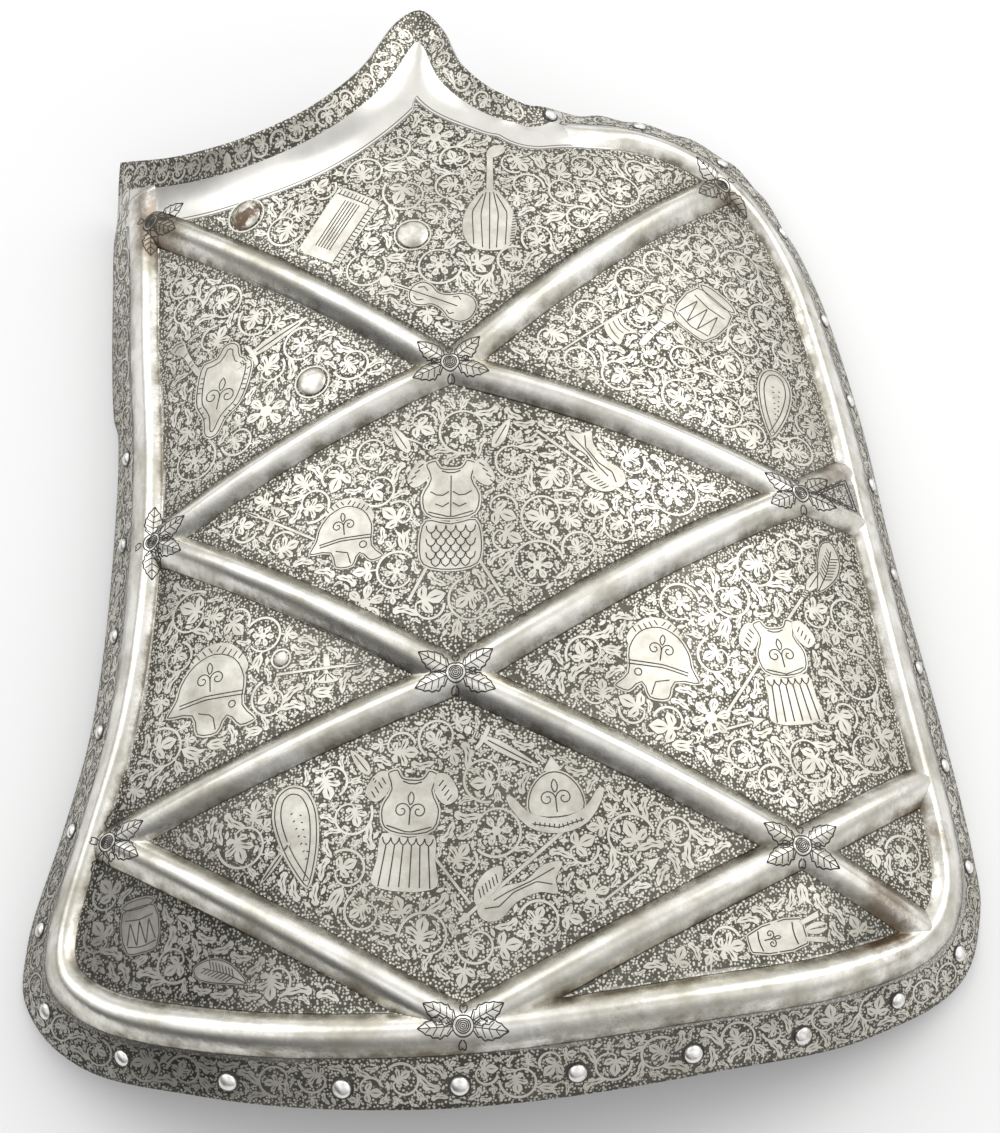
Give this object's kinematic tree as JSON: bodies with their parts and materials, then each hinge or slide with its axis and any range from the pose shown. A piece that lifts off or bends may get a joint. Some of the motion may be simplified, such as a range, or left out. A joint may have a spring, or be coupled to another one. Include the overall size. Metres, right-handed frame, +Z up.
{
  "type": "horse armour side plate",
  "caption": "Side plate of a horse's body armour: an arched steel sheet with a raised lattice of ribs, a flanged, riveted border and a flared collar along the neck edge.",
  "frame": {"origin": "middle of the bounding box on the plane the plate rests on", "axes": "+Z up out of the convex face, +Y towards the neck edge and its peak, +X to the right with the neck edge at the top"},
  "size_m": [0.4381, 0.5414, 0.0981],
  "materials": {
    "plate_steel": "polished ribs, etched and darkened panels",
    "rivet_steel": "polished domes, worn",
    "stud_steel": "worn, brown in the pits"
  },
  "bodies": {
    "root": {"plate": "plate_steel", "plug_small": "stud_steel", "rivet_hem_1": "rivet_steel", "rivet_hem_2": "rivet_steel", "rivet_hem_3": "rivet_steel", "rivet_hem_4": "rivet_steel", "rivet_hem_5": "rivet_steel", "rivet_hem_6": "rivet_steel", "rivet_left_1": "rivet_steel", "rivet_left_2": "rivet_steel", "rivet_left_3": "rivet_steel", "rivet_left_4": "rivet_steel", "rivet_left_5": "rivet_steel", "rivet_left_6": "rivet_steel", "rivet_left_corner_1": "rivet_steel", "rivet_left_corner_2": "rivet_steel", "rivet_right_1": "rivet_steel", "rivet_right_2": "rivet_steel", "rivet_right_3": "rivet_steel", "rivet_right_4": "rivet_steel", "rivet_right_5": "rivet_steel", "rivet_right_6": "rivet_steel", "rivet_right_7": "rivet_steel", "rivet_right_corner_1": "rivet_steel", "rivet_right_corner_2": "rivet_steel", "rivet_shoulder_1": "rivet_steel", "rivet_shoulder_2": "rivet_steel", "rivet_shoulder_3": "rivet_steel", "rivet_shoulder_4": "rivet_steel", "stud_collar": "stud_steel", "stud_left": "stud_steel", "stud_neck": "stud_steel"}
  },
  "joints": []
}
